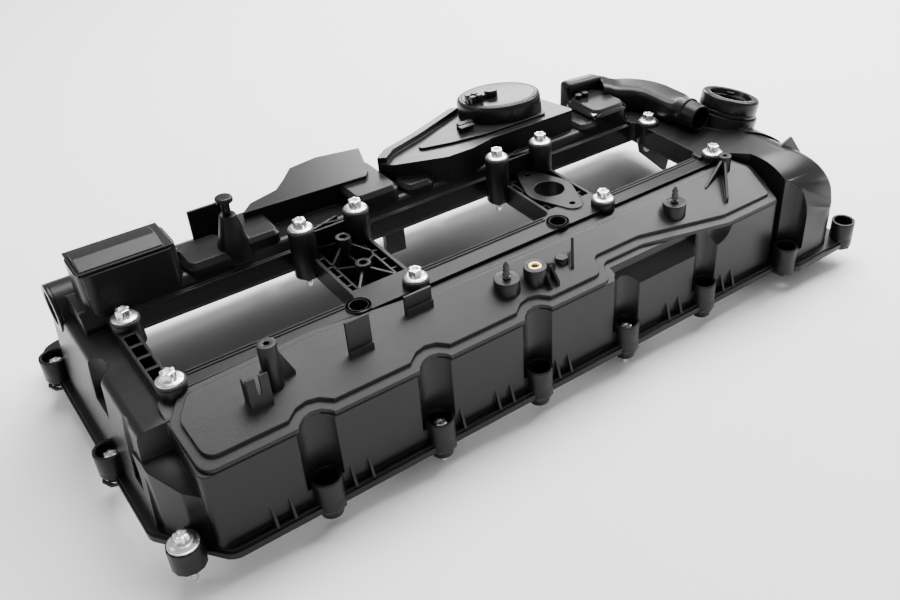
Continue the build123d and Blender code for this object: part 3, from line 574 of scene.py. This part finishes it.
# %% Dress the large mouldings
def round_dome(shape):
    """Blend the two rolls of the dome where they meet over its front corner.

    The points of its inner wall sink further, so that they stay below the blended surface.
    """
    side, front, top, roll, power, inner_depth = 598.0, -78.0, 98.0, 50.0, 3.6, 8.0
    outward = Vector((1, -1, 1)).normalized()

    def depths(vert):
        x, y, z = drawn(vert)
        return (x - side + roll) / roll, (front + roll - y) / roll, z

    def near(face):
        spots = [depths(vert) for vert in face.verts]
        return all(u > -0.05 and v > -0.05 and top - roll - 1 < z < top + 0.3 for u, v, z in spots)

    longest = 4 * millimetre
    for _ in range(4):
        patch = [face for face in shape.faces if near(face)]
        long_edges = {edge for face in patch for edge in face.edges if edge.calc_length() > longest}
        bmesh.ops.subdivide_edges(shape, edges=list(long_edges), cuts=1, use_single_edge=True)
        bmesh.ops.triangulate(shape, faces=[face for face in shape.faces if len(face.verts) > 3])
    shape.normal_update()
    moved = 0
    for vert in shape.verts:
        u, v, z = depths(vert)
        if 0 < u < 1.02 and 0 < v < 1.02 and top - roll < z < top + 0.3:
            inner = all(face.normal.dot(outward) < 0 for face in vert.link_faces)
            wall = inner_depth if inner else 0.0
            reach = min(1.0, ((u + wall / roll) ** power + (v + wall / roll) ** power) ** (1 / power))
            roof = top - roll + roll * math.sqrt(1 - reach * reach)
            drop = z - roof + wall
            if drop > 0:
                vert.co.z -= drop * millimetre
                moved += 1
    print("dome corner: moved", moved, "points")


def round_box(shape):
    """Bevel the rim and the upright edges of the tall box that the duct runs into."""
    low, high, rim, radius = (446, 140, 90), (493, 165, 130), 128.0, 5.0
    sharp = math.radians(35.0)

    def of_the_box(edge):
        spots = [drawn(vert) for vert in edge.verts]
        inside = all(a < value < b for spot in spots for a, value, b in zip(low, spot, high))
        return inside and max(spot.z for spot in spots) > rim

    edges = [edge for edge in shape.edges if of_the_box(edge) and edge.calc_face_angle(0) > sharp]
    bmesh.ops.bevel(shape, geom=edges, offset=radius * millimetre, segments=5, profile=0.5,
                    affect="EDGES", clamp_overlap=False)
    print("box at the end of the duct: rounded", len(edges), "edges")


def smooth_copy(name, angle):
    """Merged copy of a node, smooth over its curves."""
    mesh = nodes[name].data.copy()
    shape = bmesh.new()
    shape.from_mesh(mesh)
    bpy.data.meshes.remove(mesh)
    bmesh.ops.remove_doubles(shape, verts=shape.verts, dist=1e-6)
    bmesh.ops.dissolve_degenerate(shape, edges=shape.edges, dist=1e-7)
    if name == "cover_body":
        round_dome(shape)
        round_box(shape)
    return made("look_" + name, shape, angle)


plain_nodes = ["cover_body", "separator_lid", "box_lid", "labyrinth_cover", "outer_gasket", "window_gasket_1",
               "window_gasket_2", "window_gasket_3", "valve_membrane", "valve_plate", "valve_spring"]
dressed = {}
for name in plain_nodes:
    dressed[name] = dress(smooth_copy(name, 34.0), slot_of[name], body_of[name], (name,))
print("dressed", len(plain_nodes), "mouldings")

# %% [markdown]
# The spring is the one piece that changes shape when the valve opens. It stands on the
# floor of its well. Here it only gets a mesh of its own, and the tilt of the valve's axis
# is set.

# %% Give the spring its own mesh, and set the valve's tilt
tilt = math.radians(8.0)
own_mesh(dressed["valve_spring"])

# %% [markdown]
# ## Cups and bosses
# The flange sockets and the bosses of the rails are round, but the solids draw them with
# few sides. More sides could be cut into the body's mesh, which is slow to get right. It
# is easier to put a turned skin round each, a few hundredths of a millimetre larger and
# with a round lip.


# %% Skins of the round forms
skin = 0.04
cup_bore, cup_outer, cup_floor, cup_top = 8.35, 10.9 + skin, 9.0, 25.0
nose_bore, nose_outer = 4.75, 8.0 + skin
cups = []
for group, low, nose_low in [(front_sockets, 0.0, -9.0), (end_sockets, 0.0, -4.0), (side_sockets, 5.0, 0.0)]:
    for x, y in group:
        wall = sleeve(cup_bore, cup_outer, cup_floor - 0.5, cup_top + skin)
        foot = sleeve(cup_bore, cup_outer, low - skin, cup_floor)
        nose = sleeve(nose_bore, nose_outer, nose_low - skin, low + 1)
        cups.append(turned("cup", wall, stand(x, y), radius=0.7))
        cups.append(turned("cup_foot", foot, stand(x, y), radius=0.4))
        cups.append(turned("nose", nose, stand(x, y), radius=0.6))
dress(joined("socket_skins", cups), "body_plastic")

bosses = []
bush_flange = 1.5
for group, top in [(short_bosses, bolt_plane - bush_flange), (tall_bosses, tall_plane - bush_flange)]:
    for x, y in group:
        bosses.append(turned("boss", sleeve(5.3, 10 + skin, rail_bottom - skin, top), stand(x, y)))
bridge_floor = rail_bottom + 3
for x, y in rings:
    bosses.append(turned("ring", sleeve(6.75, 9.5 + skin, bridge_floor, rail_top + 1.5), stand(x, y)))
for x, y, top in [(163.0, 73.0, 108.0), (162.0, 42.0, 101.0)]:
    bosses.append(turned("tube", sleeve(3.0, 6 + skin, bridge_floor, top + skin), stand(x, y), radius=0.4))
dress(joined("boss_skins", bosses), "body_plastic")
print("cups", len(cups), "bosses", len(bosses))

# %% [markdown]
# ## Posts of the lid
# Hollow posts, the bases of the studs, the boss of the insert and a round knob stand on
# the welded lid. The lid slopes, so a plain tube would hang in the air on one side.
# Cutting it off along the slope would do, but `turned` has a shorter way: it takes a
# function for the foot, which lifts every low point onto the slope.


# %% Posts of the lid
def post(x, y, top, radius, bore, sink=0.6):
    """Round post whose foot follows the sloping lid."""

    def foot(spot):
        return deck(y + spot.y) - sink

    profile = sleeve(bore, radius + skin, deck(y - radius) - sink, top + skin)
    return turned("post", profile, stand(x, y), radius=0.45, foot=foot)


stud_places = [(238.0, -36.0), (413.0, -35.0)]
stud_foot = [deck(y) + 12.0 for _, y in stud_places]
insert_top = deck(-38.0) + 14.0
posts = [post(55.0, -30.0, 122.0, 6.25, 2.1), post(last_bolt - 3, -17.0, 106.0, 6.0, 2.1),
         post(263.0, -38.0, insert_top, 9.0, 5.5)]
posts += [post(x, y, foot, 10.0, 2.25) for (x, y), foot in zip(stud_places, stud_foot)]
knob_x, knob_y = 292.0, -34.0
lid = deck(knob_y)
knob = [(0, 70.0), (5.54, 70.0), (5.54, lid + 4), (4.6, lid + 6.2), (2.6, lid + 7.04), (0, lid + 7.04)]
posts.append(turned("knob", knob, stand(knob_x, knob_y), radius=0.6,
                    foot=lambda spot: deck(knob_y + spot.y) - 0.6))
dress(joined("lid_post_skins", posts), "lid_plastic")
print("posts", len(posts))

# %% [markdown]
# ## Cap of the pressure valve
# The cap is a stepped disc with a groove near its rim, and it tilts with the deck that it
# stands on. Turning one profile round that tilted axis gives all its rounds at once. The
# knob on it is a bar with four small blocks and a hub, joined to the disc so that the cap
# stays one moulding.

# %% Cap of the pressure valve
deck_start_y, deck_start_z = 112.0, 124.0
valve_x, valve_y = 376.0, 160.0
valve_z = deck_start_z - math.tan(tilt) * (valve_y - deck_start_y)
valve_place = stand(valve_x, valve_y, valve_z) @ Matrix.Rotation(-tilt, 4, "X")
cap_profile = [(0, 15.5), (32, 15.5), (32, 6.8), (36.5, 6.8), (36.5, 0.2), (38.95, 0.2), (38.95, 14.0),
               (37.9, 16.9), (35.2, 17.95), (34.4, 17.3), (33.6, 17.95), (12, 17.95), (0, 17.95)]
cap = [turned("cap", cap_profile, valve_place, steps=96, radius=0.6)]
knob_blocks = [((-35, -4, 17.5), (-11, 0, 22.4))]
knob_blocks += [((x, y, 17.5), (x + 5, y + 5, 25)) for y in (-8.4, -0.6) for x in (-34, -27)]
cap += [brick("knob_block", corners, valve_place) for corners in knob_blocks]
hub_place = valve_place @ Matrix.Translation((-9 * millimetre, -2 * millimetre, 0))
cap.append(turned("hub", sleeve(0, 6, 17.5, 24.6), hub_place))
dress(joined("look_valve_cap", cap), "cap_plastic", stands_for=("valve_cap",))
print("valve cap with", len(knob_blocks), "blocks on its knob")

# %% [markdown]
# ## Filler neck
# The neck of the oil filler leans outwards by 14 degrees, and three lugs inside it hold
# the filler cap. The ring is turned like the valve's cap, and a loop sets the lugs round
# its throat, which keeps them evenly spaced.

# %% Filler neck
filler_turn = Matrix.Rotation(math.radians(14.0), 4, "Y")
filler_place = stand(last_bolt + 74.0, 48.0, 120.0) @ filler_turn
neck_profile = [(16.5, -17), (28, -17), (28, -13.5), (27.2, -12.8), (28, -12.1), (28, -1.4), (26.6, 0),
                (20.6, 0), (20.4, -5), (16.5, -5)]
neck = [turned("neck", neck_profile, filler_place, steps=96, radius=0.6)]
for i in range(3):
    spin = Matrix.Rotation(math.radians(40 + 120 * i), 4, "Z")
    neck.append(brick("lug", ((17.2, -4.0, -5.2), (21.0, 4.0, -2.2)), filler_place @ spin, 0.6))
dress(joined("look_filler_neck", neck), "cap_plastic", stands_for=("filler_neck",))
print("filler neck at", [round(v, 3) for v in filler_place.translation])

# %% [markdown]
# ## Port ring and brass insert
# The port on the left end lies along the engine, so its axis is turned to lie along x. The
# insert in the lid's boss is a short brass tube with a raised collar. Both are turned.

# %% Port ring and brass insert
port_place = stand(0.0, 150.0, 87.0) @ Matrix.Rotation(math.radians(90), 4, "Y")
port_profile = [(13, -34), (18.4, -34), (18.4, -31), (15.2, -31), (15.2, -26), (13, -26)]
port_ring = turned("look_port_ring", port_profile, port_place, radius=0.8)
dress(port_ring, "cap_plastic", stands_for=("port_ring",))

insert_profile = [(2.5, insert_top - 10), (5.4, insert_top - 10), (5.4, insert_top + 0.1),
                  (4.9, insert_top + 0.58), (3.3, insert_top + 0.58), (2.5, insert_top - 0.2)]
insert = turned("look_brass_insert", insert_profile, stand(263.0, -38.0), radius=0.2)
dress(insert, "brass", stands_for=("brass_insert",))
print("port ring", len(port_ring.data.polygons), "faces, insert", len(insert.data.polygons), "faces")

# %% [markdown]
# ## Studs
# Two steel studs with barbs stand on the lid and hold clips. A barb is only three points
# of the profile, so a loop writes them. The tall stud at the rear has a plain round head
# and stands on a cone, which gets a turned skin as the cups do.

# %% Studs of the lid and the stud on its cone
barbs = []
for (x, y), foot in zip(stud_places, stud_foot):
    profile = [(0, foot - 8), (2.1, foot - 8), (2.1, foot), (3.2, foot + 0.4), (3.2, foot + 1.6),
               (2.0, foot + 2.2)]
    for i in range(3):
        z = foot + 3.0 + 3.2 * i
        profile += [(1.8, z), (3.2 - 0.2 * i, z + 0.5), (1.9, z + 2.7)]
    profile += [(1.4, foot + 13.0), (0.5, foot + 14.9), (0, foot + 14.9)]
    barbs.append(turned("barb", profile, stand(x, y), steps=32, radius=0.2))
dress(joined("look_lid_studs", barbs), "dark_steel", stands_for=("lid_studs",))

cone_place = stand(93.0, 112.0)
stud_profile = [(0, 124), (3.2, 124), (3.2, 147), (6.45, 147.2), (6.45, 150.2), (5.6, 150.95), (0, 150.95)]
stud = turned("look_mount_stud", stud_profile, cone_place, radius=0.4)
dress(stud, "cap_plastic", stands_for=("mount_stud",))
cone_profile = [(3.6, 100), (14.05, 100), (6.05, 136.04), (3.6, 136.04)]
dress(turned("cone_skin", cone_profile, cone_place), "body_plastic")
print("studs", len(barbs) + 1)

# %% [markdown]
# ## Breather duct
# The duct is a flat tube that bends by 62 degrees and then draws in to a round spout. One
# outline covers both: a superellipse is almost a rectangle with a high power and a circle
# with a power of two. So the path carries a width, a height and a power at each
# station, and the mesh is the skin between the stations. The last stations rise a little
# and run into the tall box behind the chamber, where the duct of the real cover ends.


# %% Duct
def outline(width, height, power, count=48):
    """Points of a superellipse round zero."""
    points = []
    for i in range(count):
        angle = 2 * math.pi * i / count
        c, s = math.cos(angle), math.sin(angle)
        points.append((width / 2 * math.copysign(abs(c) ** (2 / power), c),
                       height / 2 * math.copysign(abs(s) ** (2 / power), s)))
    return points


def duct_stations():
    """Place, heading, width, height and power along the duct, from the mouth inwards."""
    x, z = last_bolt + 28.0, 109.6
    width, height, boxy, bend_radius = 33.0, 22.8, 4.0, 40.0
    stations = []
    mouth = [(64.0, 0.0, 2.0), (66.0, 0.25, 2.1), (69.0, 0.6, 2.5), (73.0, 0.9, 3.2), (78.0, 1.0, boxy),
             (90.0, 1.0, boxy)]
    for y, size, power in mouth:
        place = Vector((x - 2 + 2 * size, y, z + 1.7 * (1 - size)))
        stations.append((place, Vector((0, 1, 0)), 25.2 + 7.8 * size, 25.2 - 2.4 * size, power))
    for i in range(13):
        turn = math.radians(62.0 * i / 12)
        place = Vector((x - bend_radius * (1 - math.cos(turn)), 100 + bend_radius * math.sin(turn), z))
        stations.append((place, Vector((-math.sin(turn), math.cos(turn), 0)), width, height, boxy))
    end, heading, *sizes = stations[-1]
    for reach, rise in [(6.0, 1.2), (12.0, 3.6), (18.0, 5.0)]:
        stations.append((end + heading * reach + Vector((0, 0, rise)), heading, *sizes))
    return stations


shape = bmesh.new()
rows = []
for place, heading, width, height, power in duct_stations():
    side = Vector((heading.y, -heading.x, 0))
    spots = [place + side * u + Vector((0, 0, v)) for u, v in outline(width, height, power)]
    rows.append([shape.verts.new(at(*spot)) for spot in spots])
for near, far in zip(rows, rows[1:]):
    for i in range(len(near)):
        j = (i + 1) % len(near)
        shape.faces.new((near[i], near[j], far[j], far[i]))
shape.faces.new(rows[0])
shape.faces.new(rows[-1])
duct = made("duct", shape, 50.0)
spout_place = stand(last_bolt + 26.0, 0.0, 111.3) @ Matrix.Rotation(math.radians(-90), 4, "X")
spout_profile = [(10.5, 41), (12.0, 41), (12.5, 42), (12.5, 55.8), (14.4, 56.4), (14.4, 58.6),
                 (12.6, 59.2), (12.6, 68), (10.5, 68)]
spout = turned("spout", spout_profile, spout_place, steps=64, radius=0.5)
plug = turned("spout_floor", sleeve(0, 10.6, 66, 67), spout_place, radius=0.1)
dress(joined("look_breather_duct", [duct, spout, plug]), "body_plastic", stands_for=("breather_duct",))
print("duct through", len(rows), "stations")

# %% [markdown]
# ## Ridges on the near rail
# Two thin ridges beside each window hold the seal of the near rail. Each is a round
# section carried along a line, which is what Curve to Mesh does. The tree takes a mesh
# line, a radius and a finish.


# %% Tree that carries a bead along a line
def bead_tree():
    """Group with inputs for the bead's radius and finish."""
    tree = bpy.data.node_groups.new("bead_on_line", "GeometryNodeTree")
    face = tree.interface
    face.new_socket("Geometry", in_out="OUTPUT", socket_type="NodeSocketGeometry")
    face.new_socket("Line", in_out="INPUT", socket_type="NodeSocketGeometry")
    face.new_socket("Radius", in_out="INPUT", socket_type="NodeSocketFloat")
    face.new_socket("Finish", in_out="INPUT", socket_type="NodeSocketMaterial")
    new, link = tree.nodes.new, tree.links.new
    entry, leave = new("NodeGroupInput"), new("NodeGroupOutput")
    line, ring = new("GeometryNodeMeshToCurve"), new("GeometryNodeCurvePrimitiveCircle")
    tube, real = new("GeometryNodeCurveToMesh"), new("GeometryNodeRealizeInstances")
    paint = new("GeometryNodeSetMaterial")
    ring.inputs["Resolution"].default_value = 10
    tube.inputs["Fill Caps"].default_value = True
    link(entry.outputs["Line"], line.inputs["Mesh"])
    link(entry.outputs["Radius"], ring.inputs["Radius"])
    link(line.outputs[0], tube.inputs["Curve"])
    link(ring.outputs[0], tube.inputs["Profile Curve"])
    link(tube.outputs[0], real.inputs[0])
    link(real.outputs[0], paint.inputs["Geometry"])
    link(entry.outputs["Finish"], paint.inputs["Material"])
    link(paint.outputs[0], leave.inputs[0])
    return tree


bead = bead_tree()


def bead_along(name, points, radius, finish):
    """Round bead through points of the drawing."""
    pairs = [(i, i + 1) for i in range(len(points) - 1)]
    mesh = bpy.data.meshes.new(name)
    mesh.from_pydata([at(*p) for p in points], pairs, [])
    holder = bpy.data.objects.new(name, mesh)
    scene.collection.objects.link(holder)
    modifier = holder.modifiers.new("bead", "NODES")
    modifier.node_group = bead
    values = {"Radius": radius * millimetre, "Finish": finishes[finish]}
    for item in bead.interface.items_tree:
        if item.in_out == "INPUT" and item.name in values:
            modifier[item.identifier] = values[item.name]
    plain = bpy.data.meshes.new_from_object(holder.evaluated_get(bpy.context.evaluated_depsgraph_get()))
    holder.modifiers.clear()
    holder.data = plain
    for face in plain.polygons:
        face.use_smooth = True
    return holder


print("inputs", [item.name for item in bead.interface.items_tree if item.in_out == "INPUT"])

# %% [markdown]
# Each window has two ridges a few millimetres apart, which end a little before the
# window's corners. A loop over the three windows makes all six, half sunk in the rail.

# %% Seal ridges beside the windows
rail_z = rail_top + 0.1
short_of_corner = 4.0
ridge_radius = 0.9
ridges = []
for near, far, y in [(8.0, 132.0, 9.6), (187.0, 315.0, 14.1), (369.0, 484.0, 10.6)]:
    for inset in (0.0, 3.2):
        ends = [(x, y - inset, rail_z) for x in (near + short_of_corner, far - short_of_corner)]
        ridges.append(bead_along("ridge", ends, ridge_radius, "body_plastic"))
dress(joined("rail_ridges", ridges), "body_plastic")
print("ridges", len(ridges))

# %% [markdown]
# ## Camera
# The camera was solved from the photograph: the repeated bolt pitch gives its distance
# and direction. The lens comes from the focal length in pixels. The solution puts the
# optical centre beside the middle of the picture, so the camera gets a shift each way.

# %% Camera
eye = at(-98.181, -513.149, bolt_plane + 398.834)
azimuth = math.radians(-39.051)
elevation = math.radians(34.912)
level = math.cos(elevation)
forward = Vector((-math.sin(azimuth) * level, math.cos(azimuth) * level, -math.sin(elevation)))
focal_pixels = 956.686
picture_width, picture_height = 900.0, 600.0
centre_u, centre_v = 560.0, 280.0
camera_data = bpy.data.cameras.new("camera")
camera_data.sensor_width = 36.0
camera_data.lens = camera_data.sensor_width * focal_pixels / picture_width
camera_data.shift_x = (picture_width / 2 - centre_u) / picture_width
camera_data.shift_y = (centre_v - picture_height / 2) / picture_width
camera_data.clip_end = 20.0
camera = bpy.data.objects.new("camera", camera_data)
scene.collection.objects.link(camera)
right = forward.cross(Vector((0, 0, 1))).normalized()
turn = Matrix((right, right.cross(forward), -forward)).transposed().to_4x4()
camera.matrix_world = Matrix.Translation(eye) @ turn
scene.camera = camera
print("camera at", [round(v, 3) for v in eye])

# %% [markdown]
# ## Floor
# The photograph has a plain white ground. One large pale face stands in for it, so far
# across that its edge stays out of the picture. A weak noise makes the tone a little
# uneven, as paper is.

# %% Floor
floor_mesh = bpy.data.meshes.new("floor")
reach = 30.0
corners = [(-reach, -reach, 0), (reach, -reach, 0), (reach, reach, 0), (-reach, reach, 0)]
floor_mesh.from_pydata(corners, [], [(0, 1, 2, 3)])
floor = bpy.data.objects.new("floor", floor_mesh)
scene.collection.objects.link(floor)
paint = Recipe("floor_paint")
tone = paint.mix(paint.noise(2.0), (0.92, 0.92, 0.92, 1), (0.95, 0.95, 0.95, 1))
floor_mesh.materials.append(paint.finish(Base_Color=tone, Roughness=0.9))
print("floor", 2 * reach, "m wide")

# %% [markdown]
# ## Lights
# Black plastic shows its shape only by what it reflects. Small lamps would leave hard
# spots on it, so four large square ones stand around the object. The strong ones are
# above and to the right, which draws the bright tops and edges of the photograph, and the
# white world fills the shadows.


# %% Lights
world = bpy.data.worlds.new("studio")
world.use_nodes = True
world.node_tree.nodes["Background"].inputs[0].default_value = (1, 1, 1, 1)
world.node_tree.nodes["Background"].inputs[1].default_value = 0.55
scene.world = world


def soft_light(name, place, size, power):
    """Large square lamp that looks at the object."""
    data = bpy.data.lights.new(name, "AREA")
    data.size = size
    data.energy = power
    lamp = bpy.data.objects.new(name, data)
    turn = (-Vector(place)).to_track_quat("-Z", "Y").to_matrix().to_4x4()
    lamp.matrix_world = Matrix.Translation(place) @ turn
    scene.collection.objects.link(lamp)


soft_light("over", (0.3, 0.5, 1.5), 1.1, 52)
soft_light("right", (1.25, 0.2, 1.2), 0.9, 44)
soft_light("left", (-1.6, 0.6, 1.1), 0.5, 5)
soft_light("rear", (1.0, 1.5, 0.7), 0.8, 26)
